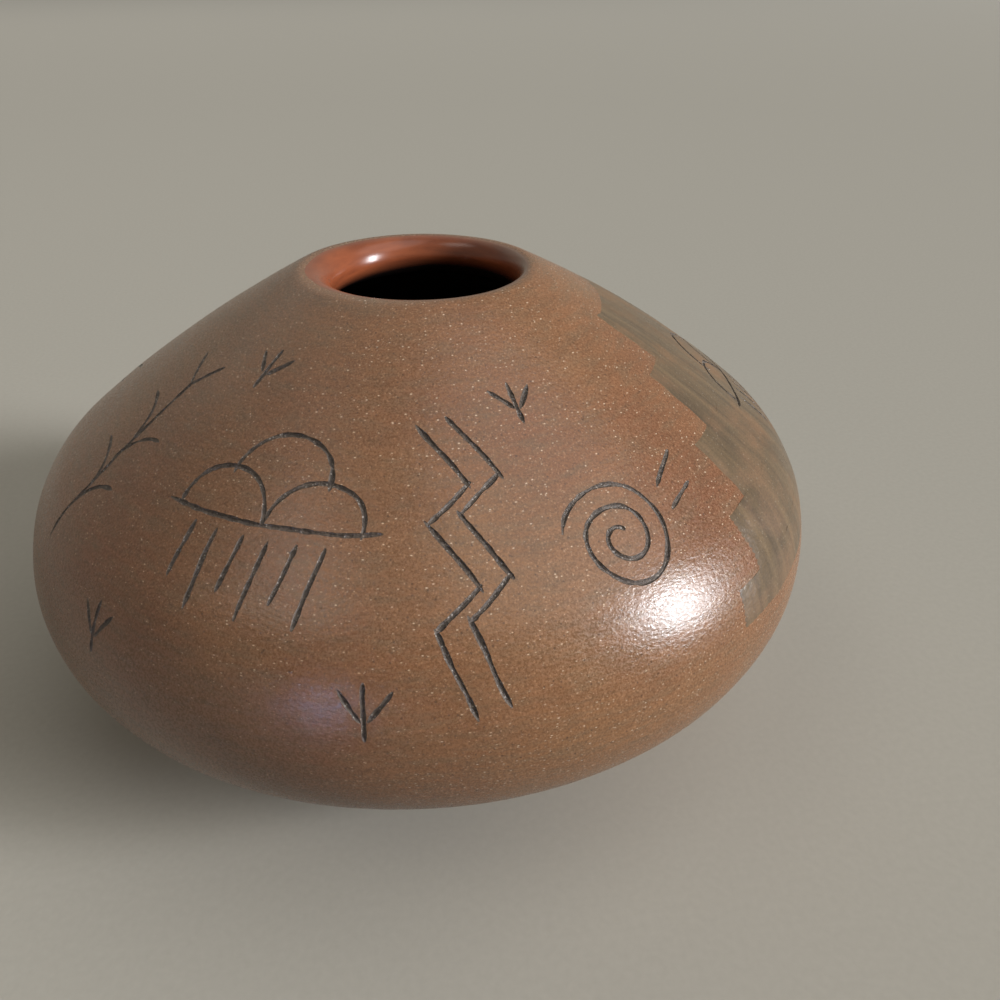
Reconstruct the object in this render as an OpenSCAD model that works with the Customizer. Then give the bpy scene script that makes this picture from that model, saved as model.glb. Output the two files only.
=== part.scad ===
// Coil-built seed pot of brown micaceous clay.
// A pressed base pan carries rings of clay laid one on another, a rolled lip coil
// closes the shoulder to a small mouth, and two thin slips are painted on the outside.
// Origin at the middle of the foot, +Z up through the mouth, sizes in millimetres.

/* [Pot] */
// Greatest width, across the belly
body_d = 127; // [110:1:160]
// Height from the foot to the crest of the lip
pot_h = 76; // [66:0.5:95]
// Height of the widest line above the foot
belly_z = 35.5; // [30:0.5:42]
// Thickness of the scraped wall
wall_t = 5; // [4:0.1:6]

/* [Wall curves] */
// Radius of the wall just above the widest line
belly_high_r = 21.5; // [17:0.5:26]
// Radius of the wall just below the widest line
belly_low_r = 17.5; // [14:0.5:22]
// Radius of the long, nearly straight shoulder
shoulder_r = 215; // [150:1:400]
// Radius of the underside
under_r = 75; // [65:1:110]

/* [Foot and base pan] */
// Width of the flat foot
foot_d = 52; // [40:1:60]
// Thickness of the floor in its middle
floor_t = 5.5; // [4:0.1:8]
// Height at which the pressed base pan ends and the first coil is laid
pan_h = 7.5; // [6:0.1:11]

/* [Mouth] */
// Width across the crest of the lip
mouth_d = 35; // [28:0.5:46]
// Radius of the roll of the lip
lip_r = 3.2; // [2.8:0.1:4.5]
// How far the clay of the lip is smeared out under the shoulder, from the middle of the roll
lip_lap = 8; // [6:0.5:12]
// Thickness of that smear at its end
lap_t = 0.6; // [0.4:0.1:1]

/* [Coils] */
// Coils between the base pan and the lower belly
under_coils = 2; // [1:1:3]
// Coils from the underside up to the widest line
low_coils = 1; // [1:1:2]
// Coils from the widest line up to the shoulder
high_coils = 2; // [1:1:3]
// Coils of the shoulder, below the lip
shoulder_coils = 3; // [1:1:5]
// Radius of the bead on a rim that is pressed into the next coil
bead_r = 1.4; // [1:0.1:1.8]

/* [Slips] */
// Thickness of a coat of slip
slip_t = 0.3; // [0.2:0.05:0.6]
// How far round the roll the red slip of the mouth reaches, from the crest inwards
mouth_slip_turn = 150; // [60:1:155]
// Height of the lower edge of the grey panel above the widest line
panel_lift = 4.5; // [0:0.5:9]
// Depth of the upper edge of the grey panel below the crest of the lip
panel_drop = 5; // [4:0.5:12]
// Half of the angle that the lower edge of the grey panel takes round the pot
panel_half = 50; // [30:1:70]
// Number of terrace steps on each side of the grey panel
panel_steps = 5; // [2:1:8]

/* [Hidden] */
$fn = 180;
// Steps round the shoulder's long curve where the thin smear of the lip lies against it
long_curve_fn = 1440;
// Pieces of the sampled curve behind each stretch of the grey panel
panel_cuts = 10;
// Hair of room under the sampled panel, so that its chords clear the round wall
panel_seat = 0.02;
// Share of the roll's radius at which the smear under the lip leaves the roll
smear_bite = 0.97;
clay = [0.50, 0.31, 0.21];
clay_light = [0.55, 0.35, 0.24];
red_slip = [0.64, 0.27, 0.16];
grey_slip = [0.38, 0.33, 0.29];

body_r = body_d / 2;
foot_r = foot_d / 2;
mouth_r = mouth_d / 2;
panel_low_z = belly_z + panel_lift;
panel_top_z = pot_h - panel_drop;

function along(angle) = [cos(angle), sin(angle)];
function heading(v) = atan2(v.y, v.x);

// Where two circles cross, on the chosen side of the line from the first centre to the second
function crossing(c1, r1, c2, r2, side) =
    let (
        gap = norm(c2 - c1),
        u = (c2 - c1) / gap,
        foot = (r1 * r1 - r2 * r2 + gap * gap) / (2 * gap),
        rise = sqrt(r1 * r1 - foot * foot)
    )
    c1 + foot * u + side * rise * [u.y, -u.x];

// Centres of the wall curves, each touching the next without a kink
low_c = [body_r - belly_low_r, belly_z];
high_c = [body_r - belly_high_r, belly_z];
lip_c = [mouth_r, pot_h - lip_r];
under_c = crossing(low_c, under_r - belly_low_r, [foot_r, 0], under_r, 1);
shoulder_c = crossing(high_c, shoulder_r - belly_high_r, lip_c, shoulder_r - lip_r, -1);

// Angles at which one curve hands over to the next
pan_a = asin((pan_h - under_c.y) / under_r);
low_a = heading(low_c - under_c);
high_a = heading(high_c - shoulder_c);
lip_a = heading(lip_c - shoulder_c);
crest_a = 90;

// Middle of the wall at an angle of a curve, where the bead of a joint sits
function joint_at(centre, radius, angle) = centre + (radius - wall_t / 2) * along(angle);

// Wall of one curve between two angles
module wall_stretch(centre, radius, a0, a1) {
    reach = (radius + wall_t) / cos((a1 - a0) / 2);
    intersection() {
        translate(centre)
            difference() {
                circle(r = radius);
                circle(r = radius - wall_t);
            }
        polygon([centre, centre + reach * along(a0), centre + reach * along(a1)]);
    }
}

module bead(centre, radius, angle) {
    translate(joint_at(centre, radius, angle))
        circle(r = bead_r);
}

// Ring of clay k of n on one curve, grooved below and beaded above
module coil(k, n, centre, radius, a_from, a_to) {
    a0 = a_from + (a_to - a_from) * (k - 1) / n;
    a1 = a_from + (a_to - a_from) * k / n;
    color(k % 2 == 0 ? clay : clay_light)
        rotate_extrude()
            difference() {
                union() {
                    wall_stretch(centre, radius, a0, a1);
                    bead(centre, radius, a1);
                }
                bead(centre, radius, a0);
            }
}

module under_coil(k) {
    coil(k, under_coils, under_c, under_r, pan_a, low_a);
}

module belly_low_coil(k) {
    coil(k, low_coils, low_c, belly_low_r, low_a, 0);
}

module belly_high_coil(k) {
    coil(k, high_coils, high_c, belly_high_r, 0, high_a);
}

module shoulder_coil(k) {
    coil(k, shoulder_coils, shoulder_c, shoulder_r, high_a, lip_a);
}

// Pressed dish with the flat foot, beaded along its rim
module base_pan() {
    rim = under_c + (under_r - wall_t) * along(pan_a);
    dish_r = (rim.x * rim.x + pow(rim.y - floor_t, 2)) / (2 * (rim.y - floor_t));
    far = under_c + 2 * under_r * along(pan_a);
    color(clay)
        rotate_extrude() {
            difference() {
                intersection() {
                    translate(under_c)
                        circle(r = under_r);
                    square([body_r, belly_z]);
                    polygon([[under_c.x, under_c.y], far, [far.x, -pot_h], [-far.x, -pot_h], [-far.x, under_c.y]]);
                }
                translate([0, floor_t + dish_r])
                    circle(r = dish_r);
            }
            bead(under_c, under_r, pan_a);
        }
}

// Section of the shoulder wall and all that lies outside it, up to the joint with the lip
module shoulder_side() {
    over = 2 * shoulder_r * along(lip_a);
    outwards = shoulder_r * along(lip_a - 90);
    difference() {
        polygon([shoulder_c, shoulder_c + over, shoulder_c + over + outwards, shoulder_c + outwards]);
        translate(shoulder_c)
            circle(r = shoulder_r - wall_t, $fn = long_curve_fn);
    }
}

// Roll that closes the shoulder, pressed on from above and smeared out under the wall
module lip_coil() {
    wall_way = lip_a - 90;
    lap_end = lip_c + lip_lap * along(wall_way) + (lip_r - wall_t - lap_t) * along(lip_a);
    sweep_a = heading(lap_end - lip_c) - acos(lip_r / norm(lap_end - lip_c));
    color(clay_light)
        rotate_extrude()
            difference() {
                union() {
                    translate(lip_c)
                        circle(r = lip_r);
                    polygon([
                        lip_c,
                        lip_c + smear_bite * lip_r * along(sweep_a),
                        lap_end,
                        lap_end + wall_t * along(lip_a)
                    ]);
                }
                shoulder_side();
                bead(shoulder_c, shoulder_r, lip_a);
            }
}

// Burnished red slip over the inner half of the lip
module mouth_slip() {
    reach = 4 * lip_r;
    color(red_slip)
        rotate_extrude()
            intersection() {
                translate(lip_c)
                    difference() {
                        circle(r = lip_r + slip_t);
                        circle(r = lip_r);
                    }
                polygon([
                    lip_c,
                    lip_c + reach * along(crest_a),
                    lip_c + reach * along(crest_a + mouth_slip_turn / 2),
                    lip_c + reach * along(crest_a + mouth_slip_turn)
                ]);
            }
}

// Outside of the wall under the grey panel, raised by d
function panel_line(d) =
    let (
        a_low = asin((panel_low_z - belly_z) / belly_high_r),
        a_top = asin((panel_top_z - shoulder_c.y) / shoulder_r)
    )
    concat(
        [for (i = [0:panel_cuts]) high_c + (belly_high_r + d) * along(a_low + (high_a - a_low) * i / panel_cuts)],
        [for (i = [1:panel_cuts]) shoulder_c + (shoulder_r + d) * along(high_a + (a_top - high_a) * i / panel_cuts)]
    );

// Grey slip painted as a terrace on one side, narrower with each step
module grey_slip_panel() {
    over = panel_line(slip_t + panel_seat);
    under = panel_line(panel_seat);
    rise = (panel_top_z - panel_low_z) / panel_steps;
    color(grey_slip)
        difference() {
            rotate([0, 0, -panel_half])
                rotate_extrude(angle = 2 * panel_half)
                    polygon(concat(over, [for (i = [len(under) - 1:-1:0]) under[i]]));
            for (step = [1:panel_steps - 1])
                for (side = [0, 1]) {
                    half = panel_half * sqrt(1 - step / panel_steps);
                    mirror([0, side, 0])
                        rotate([0, 0, half])
                            rotate_extrude(angle = panel_half)
                                translate([0, panel_low_z + step * rise])
                                    square([body_d, pot_h]);
                }
        }
}

function numbered(word, count) = [for (k = [1:count]) str(word, "_", k)];

base_pan();
for (k = [1:under_coils]) under_coil(k);
for (k = [1:low_coils]) belly_low_coil(k);
for (k = [1:high_coils]) belly_high_coil(k);
for (k = [1:shoulder_coils]) shoulder_coil(k);
lip_coil();
mouth_slip();
grey_slip_panel();
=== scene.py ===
# %% [markdown]
# # A coil-built seed pot of micaceous clay
# Small pots with a wide belly and a narrow mouth were made to keep seed corn dry and out of reach of
# mice. The potter presses a base pan, lays rolls of clay on it ring by ring, scrapes the wall until the
# joints are gone, coats parts of it with coloured slip, rubs it with a smooth stone and scratches line
# drawings into it. This lesson dresses the measured solids of that pot: the same wall, with the marks of
# the hand put back.

# %% Load the measured solids
import math

import bmesh
import bpy
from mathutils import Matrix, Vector, geometry, noise
from mathutils.bvhtree import BVHTree
from mathutils.interpolate import poly_3d_calc


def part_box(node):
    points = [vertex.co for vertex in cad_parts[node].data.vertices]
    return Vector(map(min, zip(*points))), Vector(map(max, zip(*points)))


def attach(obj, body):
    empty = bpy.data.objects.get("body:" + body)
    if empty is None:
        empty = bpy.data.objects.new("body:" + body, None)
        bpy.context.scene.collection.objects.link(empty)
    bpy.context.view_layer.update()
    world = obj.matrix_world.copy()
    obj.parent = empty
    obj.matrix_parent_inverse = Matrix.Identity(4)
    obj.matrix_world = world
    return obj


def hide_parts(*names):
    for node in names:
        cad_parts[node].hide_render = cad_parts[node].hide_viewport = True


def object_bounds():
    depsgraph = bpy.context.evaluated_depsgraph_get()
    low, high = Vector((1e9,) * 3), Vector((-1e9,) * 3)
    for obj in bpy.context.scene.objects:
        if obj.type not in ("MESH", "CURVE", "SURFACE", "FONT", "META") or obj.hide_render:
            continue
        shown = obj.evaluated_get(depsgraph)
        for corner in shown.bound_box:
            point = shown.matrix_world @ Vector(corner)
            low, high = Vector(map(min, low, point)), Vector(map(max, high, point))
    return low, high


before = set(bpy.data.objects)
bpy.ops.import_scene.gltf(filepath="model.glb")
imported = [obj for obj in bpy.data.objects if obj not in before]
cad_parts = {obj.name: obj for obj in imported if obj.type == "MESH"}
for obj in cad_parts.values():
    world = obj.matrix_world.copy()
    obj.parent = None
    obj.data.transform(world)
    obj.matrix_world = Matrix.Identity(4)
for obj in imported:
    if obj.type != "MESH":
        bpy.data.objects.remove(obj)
cad_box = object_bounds()
MM = 0.001
cad_size = [round(side / MM, 1) for side in cad_box[1] - cad_box[0]]
print("measured solids:", len(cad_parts), "pieces,", cad_size, "mm")

# %% [markdown]
# ## The wall as a run of arcs
# A coiled wall flows from curve to curve without a kink, because a scraper is drawn over it again and
# again. Five arcs describe the outside from the foot to the throat, each touching the next. Two of the
# centres are not free: they sit where a circle touches its two neighbours, and Blender's geometry module
# crosses circles.

# %% Curves of the wall
belly_r, belly_z, pot_h = cad_box[1].x, 35.5 * MM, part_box("lip_coil")[1].z
wall_t, floor_t, pan_h = 5 * MM, 5.5 * MM, 7.5 * MM
foot_r, mouth_r, lip_r, lip_lap = 26 * MM, 17.5 * MM, 3.2 * MM, 8 * MM
under_r, low_r, high_r, shoulder_r = 75 * MM, 17.5 * MM, 21.5 * MM, 215 * MM


def along(angle):
    return Vector((math.cos(angle), math.sin(angle)))


def heading(way):
    return math.atan2(way.y, way.x)


def touching(c1, r1, c2, r2):
    """The crossing of two circles that lies nearer to the axis of the pot."""
    return min(geometry.intersect_sphere_sphere_2d(c1, r1, c2, r2), key=lambda point: point.x)


low_c, high_c = Vector((belly_r - low_r, belly_z)), Vector((belly_r - high_r, belly_z))
foot_edge, lip_c = Vector((foot_r, 0)), Vector((mouth_r, pot_h - lip_r))
under_c = touching(low_c, under_r - low_r, foot_edge, under_r)
shoulder_c = touching(high_c, shoulder_r - high_r, lip_c, shoulder_r - lip_r)
foot_a, low_a = heading(foot_edge - under_c), heading(low_c - under_c)
high_a, lip_a = heading(high_c - shoulder_c), heading(lip_c - shoulder_c)
lap_end = lip_c + lip_lap * along(lip_a - math.pi / 2) + (lip_r - wall_t) * along(lip_a)
lap_a = heading(lap_end - lip_c) - math.acos(lip_r / (lap_end - lip_c).length) + math.tau

# Each row: centre, radius, first angle, last angle, rows of faces
outside = [
    (under_c, under_r, foot_a, low_a, 26),
    (low_c, low_r, low_a, 0, 12),
    (high_c, high_r, 0, high_a, 22),
    (shoulder_c, shoulder_r, high_a, lip_a, 42),
    (lip_c, lip_r, lip_a, lap_a, 26),
]
for centre, radius, start, stop, rows in outside:
    print(f"arc of {radius / MM:.1f} mm, {math.degrees(start):.1f} to {math.degrees(stop):.1f} degrees")


# %% [markdown]
# ## The hand in the wall
# No hand-scraped pot is a true turned shape. A broad, slow swell and a closer, flatter one push the wall
# in and out by a few tenths of a millimetre, and fade away towards the foot so that the pot still stands
# flat. The mouth is rounded by eye: its hole sits a little off the axis and is drawn down on the inside.
# A function of the place does this better than a sculpted mesh, because slips and scratches can ask the
# same function.

# %% Marks of the hand
broad_size, broad_depth = 36 * MM, 0.22 * MM
close_size, close_depth, close_flatness = 15 * MM, 0.07 * MM, 2.4
settle_from, settle_over = 1 * MM, 10 * MM
mouth_off, mouth_draw = 1.1 * MM, 0.12


def hand(point):
    """How far the wall stands out at a point."""
    broad = noise.noise(point / broad_size)
    close = noise.noise(Vector((point.x, point.y, close_flatness * point.z)) / close_size)
    settled = min(1.0, max(0.0, (point.z - settle_from) / settle_over))
    return settled * (broad_depth * broad + close_depth * close)


def by_eye(point):
    """The shift of a point of the mouth, full at the throat and nought from the crest outwards."""
    inward = min(1.0, max(0.0, (mouth_r - point.xy.length) / lip_r)) if point.z > pot_h / 2 else 0.0
    return Vector((mouth_off * inward, 0, mouth_draw * inward * (point.z - pot_h)))


print(f"the wall swells by up to {(broad_depth + close_depth) / MM:.2f} mm")


# %% [markdown]
# ## Places on the wall
# Everything painted or scratched needs a place on the wall. It is given as an angle round the pot, seen
# from the front, and a distance along the wall, up from the widest line, as a tape laid on the pot would
# measure it.

# %% Points on the wall
to_belly = under_r * (low_a - foot_a) - low_r * low_a


def turned(azimuth, section):
    """A point or a direction of the section, turned about the axis from the front towards the right."""
    return Vector((section.x * math.sin(azimuth), -section.x * math.cos(azimuth), section.y))


def on_wall(azimuth, up, lift):
    """A point on the outside: azimuth from the front, way up the wall from the widest line, lift off it."""
    run = to_belly + up
    for centre, radius, start, stop, rows in outside:
        angle = start + run / radius
        if angle <= stop:
            break
        run -= radius * (stop - start)
    point = turned(azimuth, centre + radius * along(angle))
    return point + turned(azimuth, along(angle)) * (lift + hand(point))


def up_at(height):
    """Distance along the wall from the widest line up to a height."""
    if height < high_c.y + high_r * math.sin(high_a):
        return high_r * math.asin((height - belly_z) / high_r)
    return high_r * high_a + shoulder_r * (math.asin((height - shoulder_c.y) / shoulder_r) - high_a)


lip_up = up_at(lip_c.y + lip_r * math.sin(lip_a))
print(f"from the widest line to the lip: {lip_up / MM:.1f} mm along the wall")


# %% [markdown]
# ## A few helpers for finishes
# Colours are written as they look on a screen and turned into the linear values that a shader works with.
# One function adds a node, sets it up and links it, so that each finish below reads as a short list.
# Every pattern is procedural, in metres, so its scale is one over the size that the mark has on the real
# pot.

# %% Finish helpers
def colour(text):
    """A screen colour such as #a06a48 as linear red, green, blue and alpha."""
    parts = [int(text[i:i + 2], 16) / 255 for i in (1, 3, 5)]
    return [c / 12.92 if c < 0.04045 else ((c + 0.055) / 1.055) ** 2.4 for c in parts] + [1.0]


def add(tree, kind, inputs, out=0, **settings):
    """Adds a node, fills each input with a value or links it to a socket, and gives one of its outputs."""
    made = tree.nodes.new(kind)
    for name, value in settings.items():
        setattr(made, name, value)
    for name, value in inputs.items():
        if isinstance(value, bpy.types.NodeSocket):
            tree.links.new(value, made.inputs[name])
        else:
            made.inputs[name].default_value = value
    return made.outputs[out]


def finish(name, place="Object", **shader_values):
    """A new material: its node tree, its shader's inputs and the place of each point on the pot."""
    material = bpy.data.materials.new(name)
    material.use_nodes = True
    tree = material.node_tree
    shader = tree.nodes["Principled BSDF"].inputs
    for key, value in shader_values.items():
        shader[key.replace("_", " ")].default_value = value
    return material, tree, shader, add(tree, "ShaderNodeTexCoord", {}, place)


print(f"the screen's middle grey is {colour('#808080')[0]:.2f} in linear light")


# %% [markdown]
# ## Burnished micaceous clay: colour
# Fired clay is a red-brown that shifts with the fire: wide soft clouds, duller olive patches where smoke
# got at it, level streaks from the rubbing stone, and a fine grain. Each is a noise of its own size, laid
# over the one before. To the eye the wall is one warm brown that never quite repeats.

# %% Fired and rubbed colour
cloud_size, streak_size, patch_size, grain_size = 40 * MM, 8 * MM, 5 * MM, 0.3 * MM
clay, tree, shader, place = finish("burnished_micaceous_clay", Specular_IOR_Level=0.65)
clouds = add(tree, "ShaderNodeTexNoise", {"Vector": place, "Scale": 1 / cloud_size, "Detail": 3.0})
cloudy = add(tree, "ShaderNodeMapRange", {"Value": clouds, "From Min": 0.32, "From Max": 0.68})
fire = {0: cloudy, 6: colour("#835539"), 7: colour("#946a46")}
fired = add(tree, "ShaderNodeMix", fire, 2, data_type="RGBA")
level = add(tree, "ShaderNodeMapping", {"Vector": place, "Scale": (1.0, 1.0, 6.0)})
streak = {"Vector": level, "Scale": 1 / streak_size, "Detail": 6.0, "Roughness": 0.65}
rubbed = add(tree, "ShaderNodeTexNoise", streak)
rub = {"Value": rubbed, "From Min": 0.3, "From Max": 0.7, "To Min": 0.88, "To Max": 1.1}
rub_tone = add(tree, "ShaderNodeMapRange", rub)
grains = {"Vector": place, "Scale": 1 / grain_size, "Detail": 2.0, "Roughness": 0.6}
grain = add(tree, "ShaderNodeTexNoise", grains)
fleck = {"Value": grain, "From Min": 0.3, "From Max": 0.7, "To Min": 0.74, "To Max": 1.2}
grain_tone = add(tree, "ShaderNodeMapRange", fleck)
shade = add(tree, "ShaderNodeMath", {0: rub_tone, 1: grain_tone}, operation="MULTIPLY")
smoke = {"Vector": level, "Scale": 1 / patch_size, "Detail": 3.0, "Roughness": 0.6}
patches = add(tree, "ShaderNodeTexNoise", smoke)
dull = add(tree, "ShaderNodeMapRange", {"Value": patches, "From Min": 0.45, "From Max": 0.7, "To Max": 0.45})
patchy = add(tree, "ShaderNodeMix", {0: dull, 6: fired, 7: colour("#7a644b")}, 2, data_type="RGBA")
toned = add(tree, "ShaderNodeVectorMath", {0: patchy, "Scale": shade}, operation="SCALE")
print(clay.name, "is toned by", len(tree.nodes), "nodes")

# %% [markdown]
# ## Burnished micaceous clay: mica and dark specks
# The clay is full of mica, which glints as pale gold specks and dust, and has small dark specks. Real mica
# dust is finer than a tenth of a millimetre, too fine to show here, so dust and flakes are drawn two or
# three times as coarse as they are. Cells of a Voronoi pattern stand for the specks, and each cell's own
# random colour makes its flake large or small, so that a few catch the eye and most are only a shimmer.
# The pale specks are partly the mica's own colour and partly painted glints and sheen.

# %% Mica and dark specks
dust_size, dark_speck_size, flake_size = 0.5 * MM, 1.1 * MM, 0.8 * MM
dust = add(tree, "ShaderNodeTexVoronoi", {"Vector": place, "Scale": 1 / dust_size})
dusty = {"Value": dust, "From Min": 0.14, "From Max": 0.28, "To Min": 0.4, "To Max": 0.0}
# Pale dust: partly the mica's colour, partly painted sheen.
dust_sheen_spot = add(tree, "ShaderNodeMapRange", dusty)
dust_and_sheen = add(tree, "ShaderNodeMix", {0: dust_sheen_spot, 6: toned, 7: colour("#d0a27c")}, 2, data_type="RGBA")
dark_specks = add(tree, "ShaderNodeTexVoronoi", {"Vector": place, "Scale": 1 / dark_speck_size})
dark_speck_range = {"Value": dark_specks, "From Min": 0.08, "From Max": 0.16, "To Min": 0.6, "To Max": 0.0}
dark_speck_spot = add(tree, "ShaderNodeMapRange", dark_speck_range)
dark_specked = add(tree, "ShaderNodeMix", {0: dark_speck_spot, 6: dust_and_sheen, 7: colour("#3d2920")}, 2, data_type="RGBA")
# Pale flakes: partly the mica's colour, partly painted glints.
lying = add(tree, "ShaderNodeMapping", {"Vector": place, "Scale": (1.0, 1.0, 2.4)})
flakes_and_glints = add(tree, "ShaderNodeTexVoronoi", {"Vector": lying, "Scale": 1 / flake_size})
size = add(tree, "ShaderNodeSeparateColor", {"Color": flakes_and_glints.node.outputs["Color"]})
edge = add(tree, "ShaderNodeMath", {0: flakes_and_glints, 1: size}, operation="DIVIDE")
glint = {"Value": edge, "From Min": 0.1, "From Max": 0.25, "To Min": 0.9, "To Max": 0.0}
flake_glint = add(tree, "ShaderNodeMapRange", glint)
speckled = add(tree, "ShaderNodeMix", {0: flake_glint, 6: dark_specked, 7: colour("#f0d6b8")}, 2, data_type="RGBA")
tree.links.new(speckled, shader["Base Color"])
print(clay.name, "has mica after", len(tree.nodes), "nodes")

# %% [markdown]
# ## Burnished micaceous clay: gloss
# Fired clay bends light like glass, near 1.5, and is matt when raw, with a roughness near 0.9. Rubbing
# lays its grains flat, and the rubbed face drops to between 0.2 and 0.4 from grain to grain. A level
# ripple of the stone, a few hundredths of a millimetre deep, breaks a highlight up into the sparkle that
# a burnished pot has. The specular level is a little over the usual 0.5, because rubbing turns the plates
# of mica flat to the face.

# %% Satin gloss
ripple_size, ripple_depth = 0.8 * MM, 0.07 * MM
satin = {"Value": grain, "From Min": 0.3, "From Max": 0.7, "To Min": 0.17, "To Max": 0.4}
gloss = add(tree, "ShaderNodeMapRange", satin)
tree.links.new(gloss, shader["Roughness"])
stone = {"Vector": lying, "Scale": 1 / ripple_size, "Detail": 3.0, "Roughness": 0.6}
ripple = add(tree, "ShaderNodeTexNoise", stone)
relief = add(tree, "ShaderNodeBump", {"Height": ripple, "Strength": 1.0, "Distance": ripple_depth})
tree.links.new(relief, shader["Normal"])
print(clay.name, "is finished with", len(tree.nodes), "nodes")

# %% [markdown]
# ## The clay inside
# Nobody can rub the inside through so small a mouth. It stays as the scraper left it, as rough as raw
# clay. Its near-black colour is painted shade, so that the mouth looks black. It could have all the grain
# of the outside, but hardly any light reaches it, so one mottled noise gives both its tone and its
# scraped relief.

# %% Scraped inside
scrape_size, scrape_depth = 6 * MM, 0.3 * MM
inner_clay, tree, shader, place = finish("scraped_clay_painted_shade", Roughness=0.9)
scrape = {"Vector": place, "Scale": 1 / scrape_size, "Detail": 6.0, "Roughness": 0.65}
mottle = add(tree, "ShaderNodeTexNoise", scrape)
# Near-black tones: painted shade of the unlit inside.
inside_shade = {0: mottle, 6: colour("#241b16"), 7: colour("#3b2b22")}
dark = add(tree, "ShaderNodeMix", inside_shade, 2, data_type="RGBA")
tree.links.new(dark, shader["Base Color"])
relief = add(tree, "ShaderNodeBump", {"Height": mottle, "Strength": 0.5, "Distance": scrape_depth})
tree.links.new(relief, shader["Normal"])
print(inner_clay.name, "has", len(tree.nodes), "nodes")

# %% [markdown]
# ## Scratched lines
# A scratched line lays bare a darker clay and leaves it torn into small notches. The eye sees a dark line
# with pinpoints of light in it: notches come from a strong bump, and the pinpoints are painted glints,
# pale specks laid into the colour at the size of the coarse-drawn mica.

# %% Scratched line
notch_size, notch_depth, speck_size = 0.35 * MM, 0.2 * MM, 0.5 * MM
scratch, tree, shader, place = finish("scratched_bare_clay", Roughness=0.34)
notches = {"Vector": place, "Scale": 1 / notch_size, "Detail": 3.0, "Roughness": 0.7}
torn = add(tree, "ShaderNodeTexNoise", notches)
mapped = add(tree, "ShaderNodeMapRange", {"Value": torn, "From Min": 0.35, "From Max": 0.72})
tear = {0: mapped, 6: colour("#39312c"), 7: colour("#7c6d60")}
bare = add(tree, "ShaderNodeMix", tear, 2, data_type="RGBA")
# Pale specks: painted glints in the scratch.
flakes_and_glints = add(tree, "ShaderNodeTexVoronoi", {"Vector": place, "Scale": 1 / speck_size})
glint = {"Value": flakes_and_glints, "From Min": 0.12, "From Max": 0.24, "To Min": 0.7, "To Max": 0.0}
flake_glint = add(tree, "ShaderNodeMapRange", glint)
glinting = add(tree, "ShaderNodeMix", {0: flake_glint, 6: bare, 7: colour("#d6ccc0")}, 2, data_type="RGBA")
tree.links.new(glinting, shader["Base Color"])
relief = add(tree, "ShaderNodeBump", {"Height": torn, "Strength": 1.0, "Distance": notch_depth})
tree.links.new(relief, shader["Normal"])
print(scratch.name, "has", len(tree.nodes), "nodes")

# %% [markdown]
# ## Red slip: the coat
# Slip is clay thinned to a cream. The red one is wiped round the mouth with a rag and rubbed until it
# shines, smoother than the clay and free of mica. The rag leaves level streaks, and a smooth highlight
# sits on them.

# %% Burnished red slip
wipe_size, wipe_depth = 6 * MM, 0.1 * MM
red, tree, shader, place = finish("burnished_red_slip", Roughness=0.24, Specular_IOR_Level=0.55)
level = add(tree, "ShaderNodeMapping", {"Vector": place, "Scale": (1.0, 1.0, 5.0)})
wipe = {"Vector": level, "Scale": 1 / wipe_size, "Detail": 5.0, "Roughness": 0.6}
wiped = add(tree, "ShaderNodeTexNoise", wipe)
mapped = add(tree, "ShaderNodeMapRange", {"Value": wiped, "From Min": 0.3, "From Max": 0.7})
ochre = {0: mapped, 6: colour("#80432a"), 7: colour("#9c5433")}
coat = add(tree, "ShaderNodeMix", ochre, 2, data_type="RGBA")
relief = add(tree, "ShaderNodeBump", {"Height": wiped, "Strength": 0.25, "Distance": wipe_depth})
tree.links.new(relief, shader["Normal"])
print(red.name, "has its coat after", len(tree.nodes), "nodes")

# %% [markdown]
# ## Red slip: where it runs out
# A wiped coat has no hard edge. It thins out towards the crest of the lip, round a centre a little off
# the axis, so that the brown of the pot comes back there. Inside, it fades to near black, as painted
# shade of the unlit throat. The red reaches deeper on the left. Distances from that centre and heights
# are mapped to how thin the coat is and how dark the painted shade is.

# %% Edges of the red slip
coat_centre, coat_full, coat_gone = (-0.9 * MM, 0.9 * MM, 0.0), 16.0 * MM, 17.4 * MM
throat_shade_low, throat_shade_high = pot_h - 4.5 * MM, pot_h - 2.7 * MM
left_from, left_to, left_reach = -14 * MM, 2 * MM, 1.5 * MM
flat = add(tree, "ShaderNodeVectorMath", {0: place, 1: (1.0, 1.0, 0.0)}, operation="MULTIPLY")
out = add(tree, "ShaderNodeVectorMath", {0: flat, 1: coat_centre}, "Value", operation="DISTANCE")
thin = add(tree, "ShaderNodeMapRange", {"Value": out, "From Min": coat_full, "From Max": coat_gone})
faded = add(tree, "ShaderNodeMix", {0: thin, 6: coat, 7: colour("#876048")}, 2, data_type="RGBA")
across = add(tree, "ShaderNodeSeparateXYZ", {"Vector": place}, "X")
left = {"Value": across, "From Min": left_from, "From Max": left_to, "To Min": left_reach, "To Max": 0.0}
more = add(tree, "ShaderNodeMapRange", left)
rise = add(tree, "ShaderNodeMath", {0: across.node.outputs["Z"], 1: more}, operation="ADD")
# Painted shade: deeper down the throat the coat turns near black, lower on the left.
throat = {"Value": rise, "From Min": throat_shade_low, "From Max": throat_shade_high, "To Min": 1.0, "To Max": 0.0}
deep = add(tree, "ShaderNodeMapRange", throat)
throat_shaded = add(tree, "ShaderNodeMix", {0: deep, 6: faded, 7: colour("#1a1210")}, 2, data_type="RGBA")
tree.links.new(throat_shaded, shader["Base Color"])
print(red.name, "is finished with", len(tree.nodes), "nodes")

# %% [markdown]
# ## Grey slip
# The grey slip goes on with a stiff brush in strokes that run down from the mouth, so it dries in streaks
# of grey and tan and is worn through to the brown in patches. It is rubbed less than the clay, and its
# sheen is uneven. Its pattern is laid out on the flat stroke map that the panel carries, so that the
# strokes follow the wall.

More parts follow.
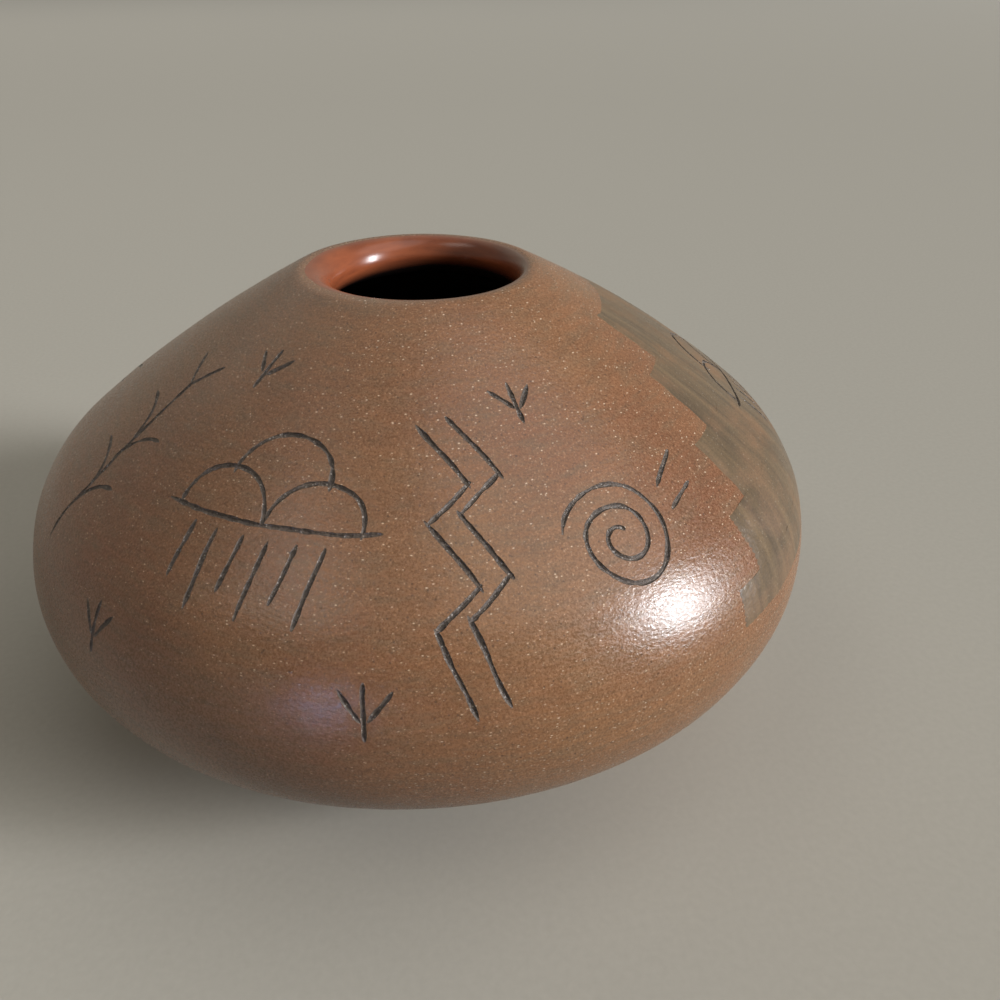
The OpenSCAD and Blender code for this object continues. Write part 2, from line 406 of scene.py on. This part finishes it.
# %% Brushed grey slip
stroke_size, furrow_depth, wear_size = 1.6 * MM, 0.08 * MM, 9 * MM
grey, tree, shader, place = finish("brushed_grey_slip", "UV", Specular_IOR_Level=0.7)
drawn = add(tree, "ShaderNodeMapping", {"Vector": place, "Scale": (1.0, 0.07, 1.0)})
bristles = {"Vector": drawn, "Scale": 1 / stroke_size, "Detail": 5.0, "Roughness": 0.62, "Distortion": 0.3}
brush = add(tree, "ShaderNodeTexNoise", bristles)
mapped = add(tree, "ShaderNodeMapRange", {"Value": brush, "From Min": 0.34, "From Max": 0.66})
paint = {0: mapped, 6: colour("#574735"), 7: colour("#796348")}
coat = add(tree, "ShaderNodeMix", paint, 2, data_type="RGBA")
wear = {"Vector": place, "Scale": 1 / wear_size, "Detail": 4.0, "Roughness": 0.6}
patches = add(tree, "ShaderNodeTexNoise", wear)
rubbed_off = {"Value": patches, "From Min": 0.46, "From Max": 0.68, "To Max": 0.62}
worn = add(tree, "ShaderNodeMapRange", rubbed_off)
patchy = add(tree, "ShaderNodeMix", {0: worn, 6: coat, 7: colour("#8a6647")}, 2, data_type="RGBA")
sheen = {"Value": patches, "From Min": 0.35, "From Max": 0.65, "To Min": 0.27, "To Max": 0.45}
gloss = add(tree, "ShaderNodeMapRange", sheen)
tree.links.new(gloss, shader["Roughness"])
furrows = add(tree, "ShaderNodeBump", {"Height": brush, "Strength": 0.6, "Distance": furrow_depth})
stone = {"Vector": place, "Scale": 1 / ripple_size, "Detail": 3.0, "Roughness": 0.6}
ripple = add(tree, "ShaderNodeTexNoise", stone)
rubs = {"Height": ripple, "Strength": 1.0, "Distance": ripple_depth, "Normal": furrows}
tree.links.new(add(tree, "ShaderNodeBump", rubs), shader["Normal"])
print(grey.name, "has its strokes after", len(tree.nodes), "nodes")

# %% [markdown]
# ## Grey slip: grain
# The slip is clay too, so it has the same grain as the wall and a little mica, dulled by the grey. Flakes
# are again drawn coarser than life, or they would not show. They are mixed in as colour, because true mirror
# flakes would need far more samples to come out clean.

# %% Grain of the grey slip
grains = {"Vector": place, "Scale": 1 / grain_size, "Detail": 2.0, "Roughness": 0.6}
grain = add(tree, "ShaderNodeTexNoise", grains)
fleck = {"Value": grain, "From Min": 0.3, "From Max": 0.7, "To Min": 0.76, "To Max": 1.2}
grain_tone = add(tree, "ShaderNodeMapRange", fleck)
toned = add(tree, "ShaderNodeVectorMath", {0: patchy, "Scale": grain_tone}, operation="SCALE")
flakes_and_glints = add(tree, "ShaderNodeTexVoronoi", {"Vector": place, "Scale": 1 / flake_size})
glint = {"Value": flakes_and_glints, "From Min": 0.09, "From Max": 0.15, "To Min": 0.35, "To Max": 0.0}
flake_glint = add(tree, "ShaderNodeMapRange", glint)
speckled = add(tree, "ShaderNodeMix", {0: flake_glint, 6: toned, 7: colour("#c4b6a2")}, 2, data_type="RGBA")
tree.links.new(speckled, shader["Base Color"])
print(grey.name, "is finished with", len(tree.nodes), "nodes")


# %% [markdown]
# ## Turning a section
# A round pot could be made from a subdivided ball, but its wall would then follow the ball's squares.
# Here a section is drawn as a wire, as on a potter's template: one point is spun about the centre of each
# arc in turn, and the whole wire is then spun once about the upright axis.

# %% Turning helpers
def swing(bm, end, centre, angle, rows):
    """Spins the end of the wire about a centre in the section and gives the new end."""
    cent = (centre.x, 0, centre.y)
    made = bmesh.ops.spin(bm, geom=[end], cent=cent, axis=(0, -1, 0), angle=angle, steps=rows)
    return next(part for part in made["geom_last"] if isinstance(part, bmesh.types.BMVert))


def push(bm, end, target):
    """Pushes a straight edge out of the end of the wire to a point of the section."""
    made = bmesh.ops.extrude_vert_indiv(bm, verts=[end])["verts"][0]
    made.co = (target.x, 0, target.y)
    return made


def full_turn(bm, steps):
    """Spins the wire once about the axis and closes the seam."""
    wire = bm.verts[:] + bm.edges[:]
    bmesh.ops.spin(bm, geom=wire, axis=(0, 0, 1), angle=math.tau, steps=steps, use_merge=True)
    bmesh.ops.remove_doubles(bm, verts=bm.verts[:], dist=0.001 * MM)
    bmesh.ops.recalc_face_normals(bm, faces=bm.faces[:])


def piece(name, bm, *materials):
    """A smooth-shaded object of the finished mesh."""
    for face in bm.faces:
        face.smooth = True
    mesh = bpy.data.meshes.new(name)
    bm.to_mesh(mesh)
    bm.free()
    for material in materials:
        mesh.materials.append(material)
    made = bpy.data.objects.new(name, mesh)
    bpy.context.scene.collection.objects.link(made)
    return made


# %% [markdown]
# ## The pot
# The wire starts in the middle of the foot, climbs the outside arc by arc, rolls over the lip, and runs
# down the inside to the middle of the floor, so the turned pot is closed and has a real wall. The marks
# of the hand are added last. Faces that look at the axis below the lip belong to the inside, whose dark
# colour is painted shade.

# %% Section and full turn
pot_columns = 288
pan_a = math.asin((pan_h - under_c.y) / under_r)
rim = under_c + (under_r - wall_t) * along(pan_a)
dish_r = (rim.x ** 2 + (rim.y - floor_t) ** 2) / (2 * (rim.y - floor_t))
dish_c = Vector((0, floor_t + dish_r))
# Each row: centre, first angle, last angle, rows of faces
inside = [
    (shoulder_c, heading(lap_end - shoulder_c), high_a, 10),
    (high_c, high_a, 0, 7),
    (low_c, 0, low_a, 4),
    (under_c, low_a, pan_a, 6),
    (dish_c, heading(rim - dish_c), -math.pi / 2, 8),
]

bm = bmesh.new()
end = bm.verts.new((0, 0, 0))
for share in (0.3, 0.6, 0.9, 1.0):
    end = push(bm, end, foot_edge * share)
for centre, radius, start, stop, rows in outside:
    end = swing(bm, end, centre, stop - start, rows)
end = push(bm, end, shoulder_c + (shoulder_r - wall_t) * along(inside[0][1]))
for centre, start, stop, rows in inside:
    end = swing(bm, end, centre, stop - start, rows)
full_turn(bm, pot_columns)
bm.normal_update()
for vert, shift in [(vert, vert.normal * hand(vert.co) + by_eye(vert.co)) for vert in bm.verts]:
    vert.co += shift
for face in bm.faces:
    middle = face.calc_center_median()
    faces_axis = middle.xy.dot(face.normal.xy) < 0 and middle.z < lip_c.y
    in_dish = face.normal.z > 0.5 and middle.z < rim.y + MM
    face.material_index = int(faces_axis or in_dish)
pot = piece("pot_wall", bm, clay, inner_clay, scratch)
print("pot wall:", len(pot.data.polygons), "faces")

# %% [markdown]
# ## The grey terrace
# Stepped terraces stand for clouds and hills on much pueblo ware. The panel starts as a flat grid, is
# drawn in step by step towards its top, gets a wavering brushed edge, and is then wrapped onto the wall
# as a thin skin that sinks into it at the rim. Its flat places are kept as the stroke map before it is
# wrapped.

# %% Grey slip panel
panel_foot, panel_head = 40 * MM, 71 * MM
panel_half, panel_steps, panel_grid = math.radians(50), 5, 130
panel_low, panel_top = up_at(panel_foot), up_at(panel_head)
edge_waver, edge_turn, edge_rise = math.radians(0.9), 8, 4 * MM
step_waver, step_turn, step_shift = 0.5 * MM, 12, 3.0
rim_fall, mean_r = 12, 50 * MM
skin_top, skin_rim, skin_back = 0.06 * MM, -0.02 * MM, -0.12 * MM

bm = bmesh.new()
bmesh.ops.create_grid(bm, x_segments=panel_grid, y_segments=panel_grid, size=1.0)
raised = bmesh.ops.extrude_face_region(bm, geom=bm.faces[:])["geom"]
raised_verts = [part for part in raised if isinstance(part, bmesh.types.BMVert)]
bmesh.ops.translate(bm, verts=raised_verts, vec=(0, 0, 1))
for vert in bm.verts:
    across, share, layer = vert.co.x, (vert.co.y + 1) / 2, vert.co.z
    up = panel_low + share * (panel_top - panel_low)
    height = (on_wall(0, up, 0).z - panel_foot) / (panel_head - panel_foot)
    step = min(panel_steps - 1, max(0, int(height * panel_steps)))
    azimuth = math.pi / 2 + across * panel_half * math.sqrt(1 - step / panel_steps)
    azimuth += edge_waver * abs(across) * noise.noise(Vector((edge_turn * azimuth, up / edge_rise, 0)))
    up += step_waver * noise.noise(Vector((step_turn * azimuth, step_shift * step, 5)))
    inner = min(1.0, rim_fall * min(1 - abs(across), share, 1 - share))
    vert.co = (azimuth, up, skin_rim + (skin_top - skin_rim) * inner if layer else skin_back)
strokes_map = bm.loops.layers.uv.new("strokes_map")
for face in bm.faces:
    for loop in face.loops:
        loop[strokes_map].uv = (loop.vert.co.x * mean_r, loop.vert.co.y)
for vert in bm.verts:
    vert.co = on_wall(*vert.co)
bmesh.ops.recalc_face_normals(bm, faces=bm.faces[:])
panel = piece("side_grey_slip", bm, grey, scratch)
print("grey panel:", len(panel.data.polygons), "faces")


# %% [markdown]
# ## Signs
# The drawings are common signs of rain and growth: clouds with falling rain, lightning, spirals for wind
# and water, maize and bird tracks. Each sign is a function that gives strokes in millimetres, to the
# right and up, made of straight runs and arcs, because that is how a hand with one pointed tool draws
# them.

# %% Signs as strokes
spacing = 0.55


def line(*corners):
    """Points along straight runs."""
    made = []
    for (u0, v0), (u1, v1) in zip(corners, corners[1:]):
        count = max(2, round(math.hypot(u1 - u0, v1 - v0) / spacing))
        made += [(u0 + (u1 - u0) * i / count, v0 + (v1 - v0) * i / count) for i in range(count)]
    return made + [corners[-1]]


def arc(u, v, radius, start, stop, grow=0.0):
    """Points along an arc in degrees, whose radius may grow into a spiral."""
    count = max(6, round(abs(math.radians(stop - start)) * (radius + grow / 2) / spacing))
    turns = [(i / count, math.radians(start + (stop - start) * i / count)) for i in range(count + 1)]
    return [(u + (radius + grow * t) * math.cos(a), v + (radius + grow * t) * math.sin(a)) for t, a in turns]


def rain_cloud():
    lobes = [arc(-6.4, 0, 6.4, 184, -3), arc(6.4, 0, 6.3, 181, -4), arc(0, 5.6, 6.7, 183, -2)]
    places = (-9.4, -5.6, -2, 1.7, 5.3, 9)
    rain = [line((u, -1.7), (u - 0.8, -9.5 - 2.5 * (i % 2))) for i, u in enumerate(places)]
    return lobes + [line((-15, -0.4), (15, 0.3))] + rain


def lightning():
    corners = [(-1, 19), (4.6, 10.5), (-1.6, 6), (4, -2.5), (-2.2, -7), (1.6, -17)]
    overshot = [(u, v - 0.9) for u, v in corners[1:]]
    first = [line(a, b) for a, b in zip(corners, overshot)]
    return first + [[(u - 4, v - 1) for u, v in stroke] for stroke in first]


def wind_spiral():
    return [arc(0, 0, 1.0, 40, 880, 6.8), line((8.6, 3.8), (14, 7.4)), line((9, 0.6), (14.6, 2.6))]


def maize():
    joints = ((-10, 1), (-6, -1), (-1, 1), (3, -1))
    leaves = [arc(side * 6.4, v, 6.5, 90 + side * 90, 90 + side * 4) for v, side in joints]
    return [line((0, -15), (0.6, 15))] + leaves + [line((0.6, 14), (u, 19)) for u in (-3.4, 4)]


def track():
    return [line((0, -3.4), (0, 4.8)), line((0.4, -0.6), (3.6, 3.6)), line((-0.4, -0.6), (-3.4, 3.8))]


for sign in (rain_cloud, lightning, wind_spiral, maize, track):
    print(sign.__name__, "has", len(sign()), "strokes")

# %% [markdown]
# ## Signs round the pot
# The signs are spread as on a pot that is turned in the lap while it is drawn on: a large sign every
# thirty or forty degrees, small tracks in the gaps, and one cloud on the grey panel. Each row of the list
# is a sign, its angle from the front, its height along the wall in millimetres and its size.

# %% Layout of the signs
layout = [
    (lightning, 6, 26, 1.0), (rain_cloud, -25, 29, 1.0), (wind_spiral, 27, 24, 1.0), (maize, -62, 28, 1.0),
    (track, -8, 8, 0.9), (track, -44, 9, 0.9), (track, 20, 45, 0.8), (track, -42, 49, 0.8),
    (rain_cloud, 182, 28, 1.0), (maize, 155, 26, 1.0),
    (lightning, -148, 26, 1.0), (wind_spiral, -112, 24, 1.0),
    (track, -90, 8, 0.9), (track, -130, 8, 0.9), (track, 166, 8, 0.9), (track, -128, 47, 0.8),
    (rain_cloud, 91, 25, 0.9),
]
strokes = [
    [(math.radians(azimuth), u * size * MM, (up + v * size) * MM) for u, v in stroke]
    for sign, azimuth, up, size in layout for stroke in sign()
]
print("signs:", len(layout), "strokes:", len(strokes))


# %% [markdown]
# ## The path of the tool
# A round-nosed tool is drawn along each stroke, lighter at its ends, with the small tremor of a hand:
# noise moves the path sideways and varies the press. Tools that would cross are kept for separate passes,
# because one cutting mesh must not run through itself.

# %% Tool paths
tool_r, clearance = 0.42 * MM, 1.5 * MM
tremor, tremor_size, other_way = 0.4 * MM, 7 * MM, Vector((9, 4, 0))
mean_press, press_swing, press_size = 0.9, 0.3, 1.1 * MM
end_press, end_gain = 0.6, 0.2
full_lift, light_lift = 0.1, 0.26


def tool_path(stroke, number):
    """Centre line and thickness of the tool along a stroke."""
    made, last = [], len(stroke) - 1
    for i, (azimuth, u, up) in enumerate(stroke):
        drift = Vector((u, up, number * tremor_size))
        u += tremor * noise.noise(drift / tremor_size)
        up += tremor * noise.noise(drift / tremor_size + other_way)
        ends = min(1.0, end_press + end_gain * min(i, last - i))
        press = ends * (mean_press + press_swing * noise.noise(drift / press_size))
        around = on_wall(azimuth, up, 0).xy.length
        lift = (full_lift + light_lift * (1 - press)) * MM
        made.append((on_wall(azimuth + u / around, up, lift), press))
    return made


def apart(path, others):
    """Whether a path keeps clear of every path of a pass."""
    return all((a - b).length > clearance for other in others for a, _ in path for b, _ in other)


passes = []
for number, stroke in enumerate(strokes):
    path = tool_path(stroke, number)
    clear = [others for others in passes if apart(path, others)]
    if clear:
        clear[0].append(path)
    else:
        passes.append([path])
print("passes of the tool:", len(passes))


# %% [markdown]
# ## The scratching tool
# A bevelled curve is the quickest round bar along a path, and the radius of each point gives the press.
# The bar is turned into a mesh to cut with. Its own texture map is dropped, or the cut pieces would
# inherit it.

# %% Tool meshes
def tool_mesh(paths):
    """Round bars along the paths, closed at both ends, as one object."""
    curve = bpy.data.curves.new("scratching_tool", "CURVE")
    curve.dimensions = "3D"
    curve.bevel_depth, curve.bevel_resolution, curve.use_fill_caps = tool_r, 2, True
    for path in paths:
        spline = curve.splines.new("POLY")
        spline.points.add(len(path) - 1)
        for point, (spot, press) in zip(spline.points, path):
            point.co, point.radius = (*spot, 1.0), press
    holder = bpy.data.objects.new("scratching_tool", curve)
    bpy.context.scene.collection.objects.link(holder)
    bm = bmesh.new()
    bm.from_mesh(bpy.data.meshes.new_from_object(holder))
    bm.loops.layers.uv.remove(bm.loops.layers.uv.verify())
    bpy.data.objects.remove(holder)
    bmesh.ops.remove_doubles(bm, verts=bm.verts[:], dist=0.001 * MM)
    bmesh.ops.recalc_face_normals(bm, faces=bm.faces[:])
    return piece("scratching_tool", bm, scratch)


tools = [tool_mesh(paths) for paths in passes]
print("tool meshes:", [len(tool.data.polygons) for tool in tools], "faces")


# %% [markdown]
# ## Scratching the lines
# A drawn line would only be paint, so each line is cut into the wall. A cut leaves many-sided faces
# beside the line, which would shade in blotches. They take their shading from the wall as it was before
# the cut: the nearest old face gives each corner its normal.

# %% Cutting
soft_edge = math.radians(38)


def wall_normal(wall, lookup, spot):
    """The smooth normal that the uncut wall has nearest to a spot."""
    near, _, index, _ = lookup.find_nearest(spot)
    ring = [wall.vertices[v] for v in wall.polygons[index].vertices]
    shares = poly_3d_calc([vert.co for vert in ring], near)
    return sum((vert.normal * share for vert, share in zip(ring, shares)), Vector()).normalized()


def carve(target, tools):
    """Cuts each tool out of a piece and keeps the shading that the piece had outside the cuts."""
    plain = target.data
    for tool in tools:
        cut = target.modifiers.new("scratch", "BOOLEAN")
        cut.operation, cut.object = "DIFFERENCE", tool
        cut.solver, cut.material_mode = "MANIFOLD", "TRANSFER"
        seen = target.evaluated_get(bpy.context.evaluated_depsgraph_get())
        carved = bpy.data.meshes.new_from_object(seen)
        target.modifiers.clear()
        target.data = carved
    carved.set_sharp_from_angle(angle=soft_edge)
    bare = carved.materials.find(scratch.name)
    rims = {v for face in carved.polygons if face.material_index == bare for v in face.vertices}
    normals = [corner.vector.copy() for corner in carved.corner_normals]
    spots = [vert.co for vert in plain.vertices]
    lookup = BVHTree.FromPolygons(spots, [face.vertices for face in plain.polygons])
    for face in carved.polygons:
        if face.material_index != bare and rims.intersection(face.vertices):
            for corner in face.loop_indices:
                spot = carved.vertices[carved.loops[corner].vertex_index].co
                normals[corner] = wall_normal(plain, lookup, spot)
    carved.normals_split_custom_set(normals)
    scratched = sum(face.material_index == bare for face in carved.polygons)
    print(target.name, "has", len(carved.polygons), "faces,", scratched, "in scratches")


for target in (pot, panel):
    carve(target, tools)
for tool in tools:
    bpy.data.objects.remove(tool)

# %% [markdown]
# ## The red mouth
# The slip is one arc of the lip's roll, spun once about the axis and moved with the mouth. Its upper edge
# wavers a little and lies almost flush, as a wiped edge does, and its lower edge ends out of sight under
# the lip.

# %% Red slip of the mouth
slip_from, slip_to, slip_rows, slip_columns = math.radians(94), math.radians(240), 28, 240
slip_rise, slip_back, edge_slope, edge_sunk = 0.1 * MM, 0.2 * MM, 8, 0.3
rim_waver, rim_bumps = math.radians(5), 2.2
bm = bmesh.new()
first = lip_c + lip_r * along(slip_from)
swing(bm, bm.verts.new((first.x, 0, first.y)), lip_c, slip_to - slip_from, slip_rows)
full_turn(bm, slip_columns)
for vert in bm.verts:
    azimuth = math.atan2(vert.co.x, -vert.co.y)
    angle = heading(Vector((vert.co.xy.length, vert.co.z)) - lip_c) % math.tau
    share = (angle - slip_from) / (slip_to - slip_from)
    angle += rim_waver * (1 - share) ** 2 * noise.noise(rim_bumps * turned(azimuth, Vector((1, 0))))
    point = turned(azimuth, lip_c + lip_r * along(angle))
    lift = (min(1.0, edge_slope * share) - edge_sunk) * slip_rise
    vert.co = point + turned(azimuth, along(angle)) * (hand(point) + lift) + by_eye(point)
if sum(face.normal.z for face in bm.faces) < 0:
    bmesh.ops.reverse_faces(bm, faces=bm.faces[:])
bmesh.ops.solidify(bm, geom=bm.faces[:], thickness=slip_back)
mouth_slip = piece("mouth_red_slip", bm, red)
mouth_slip.data.set_sharp_from_angle(angle=soft_edge)
print("red slip:", len(mouth_slip.data.polygons), "faces")

# %% [markdown]
# ## Taking the solids' places
# Each dressed piece rides on the pot's one body and stands for the measured solids that it covers: the
# scraped wall for all the coils, because their joints are gone from sight, and each slip for its own
# skin.

# %% Riding and standing in
clay_nodes = [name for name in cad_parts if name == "base_pan" or "coil" in name]
dressed = [
    (pot, "micaceous_clay", clay_nodes),
    (mouth_slip, "red_slip", ["mouth_slip"]),
    (panel, "grey_slip", ["grey_slip_panel"]),
]
for made, slot, nodes in dressed:
    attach(made, "root")
    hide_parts(*nodes)
    print(made.name, "stands for", len(nodes), "solids")


# %% [markdown]
# ## Floor
# A sheet of pale, matt paper runs out past the picture. It could be bent up behind the pot as a backdrop,
# but the camera looks down, so a flat sheet is enough. It has no gloss at all, so that it takes the pot's
# soft shadow and no lamp shines back from it, and it is a little paler far out, where less light falls.
# It looks paler than it throws light back, or it would light the underside of the pot too much. It is
# staging, not a part of the pot.

# %% Floor
def pale_for_camera(tree):
    """One where the camera or a glossy or clear surface looks, nought where light is only thrown about."""
    seen = add(tree, "ShaderNodeLightPath", {}, "Is Camera Ray")
    for kind in ("Is Glossy Ray", "Is Transmission Ray"):
        other = add(tree, "ShaderNodeLightPath", {}, kind)
        seen = add(tree, "ShaderNodeMath", {0: seen, 1: other}, operation="MAXIMUM")
    return seen


floor_half, near_edge, far_edge, fibre_size = 4.5, 0.8, 4.0, 1.2 * MM
paper, tree, shader, place = finish("pale_matt_floor", Roughness=1.0, Specular_IOR_Level=0.0)
mottle = add(tree, "ShaderNodeTexNoise", {"Vector": place, "Scale": 1 / fibre_size, "Detail": 3.0})
fibres = {0: mottle, 6: colour("#bbb6a9"), 7: colour("#c5c0b3")}
mixed = add(tree, "ShaderNodeMix", fibres, 2, data_type="RGBA")
far = add(tree, "ShaderNodeVectorMath", {0: place}, "Value", operation="LENGTH")
beyond = add(tree, "ShaderNodeMapRange", {"Value": far, "From Min": near_edge, "From Max": far_edge})
paler = add(tree, "ShaderNodeMix", {0: beyond, 6: mixed, 7: colour("#cdc8bb")}, 2, data_type="RGBA")
looks = {0: pale_for_camera(tree), 6: colour("#6c685f"), 7: paler}
tree.links.new(add(tree, "ShaderNodeMix", looks, 2, data_type="RGBA"), shader["Base Color"])
bm = bmesh.new()
bmesh.ops.create_grid(bm, x_segments=8, y_segments=8, size=floor_half)
floor = piece("floor", bm, paper)
print("floor:", 2 * floor_half, "m across")


# %% [markdown]
# ## Light
# A burnished belly shows every lamp as a highlight, so each lamp is placed where its highlight should
# lie: the tall window on the right makes the white one, and a small cool beam low in front the blue one.
# The window stands far off and is large, so that it lights the floor evenly. A near lamp would leave a
# glaring patch on the floor. Two weak fills lift the left side, and a wide glow from above, as from a
# pale ceiling, softens the shadow.

# %% Lamps
def lamp(name, azimuth, elevation, distance, size, power, tint, target, beam=180):
    """A soft light of a width and height that faces a target in millimetres, with a beam in degrees."""
    light = bpy.data.lights.new(name, "AREA")
    light.shape = "RECTANGLE"
    light.size, light.size_y = size
    light.energy, light.color, light.spread = power, colour(tint)[:3], math.radians(beam)
    made = bpy.data.objects.new(name, light)
    way = turned(math.radians(azimuth), along(math.radians(elevation)))
    made.location = Vector(target) * MM + way * distance
    made.rotation_euler = way.to_track_quat("Z", "Y").to_euler()
    bpy.context.scene.collection.objects.link(made)
    print(f"{name}: {power} W from {azimuth} degrees round and {elevation} up")


lamp("tall_window", 69.5, 17.6, 24.0, (4.0, 10.0), 7120, "#f8faff", (29.6, -51.3, 48.4))
lamp("low_window", -28.8, 1, 0.7, (0.07, 0.06), 0.0042, "#b8c8ff", (-13.4, -60.3, 44.0), beam=16)
lamp("high_fill", -62, 56, 1.1, (0.5, 0.35), 0.95, "#fffaf2", (-14.2, -51.3, 54.0))
lamp("back_fill", -150, 50, 3.0, (3.0, 3.0), 8, "#fffaf2", (0, 0, 40))
glow_strength, glow_width, glow_azimuth, glow_elevation = 0.65, 55, 69, 62
glow = bpy.data.objects.new("ceiling_glow", bpy.data.lights.new("ceiling_glow", "SUN"))
glow.data.energy, glow.data.angle = glow_strength, math.radians(glow_width)
glow_way = turned(math.radians(glow_azimuth), along(math.radians(glow_elevation)))
glow.rotation_euler = glow_way.to_track_quat("Z", "Y").to_euler()
bpy.context.scene.collection.objects.link(glow)
print(f"ceiling glow: {glow.data.energy:.2f} W on each square metre")

# %% [markdown]
# ## Air
# The world gives a little even light. The camera and glossy surfaces see it paler than it shines, so that
# the space past the edge of the floor looks like more of the same paper and adds no light to the pot.

# %% Air
world = bpy.data.worlds.new("studio_air")
world.use_nodes = True
air = world.node_tree
level = add(air, "ShaderNodeMapRange", {"Value": pale_for_camera(air), "To Min": 0.1, "To Max": 0.7})
air.links.new(level, air.nodes["Background"].inputs["Strength"])
air.nodes["Background"].inputs["Color"].default_value = colour("#bdb8ab")
bpy.context.scene.world = world
print("air:", len(air.nodes), "nodes")

# %% [markdown]
# ## Camera
# The camera stands close and looks down on the shoulder with a slightly wide lens, so that the near belly
# looks large and the mouth small. A longer lens from further off would flatten the pot. Colours are shown
# as they are, without a film look.

# %% Camera
camera = bpy.data.objects.new("camera", bpy.data.cameras.new("camera"))
camera.data.lens, camera.data.sensor_width = 30.6, 36.0
camera.data.clip_start = 1 * MM
camera.location = (0, -0.130156, 0.114836)
aim = Vector((0.012387, -0.003821, 0.034924))
camera.rotation_euler = (aim - camera.location).to_track_quat("-Z", "Y").to_euler()
bpy.context.scene.collection.objects.link(camera)
bpy.context.scene.camera = camera
bpy.context.scene.view_settings.view_transform = "Standard"
print(f"camera: {(aim - camera.location).length / MM:.0f} mm from the point it looks at")
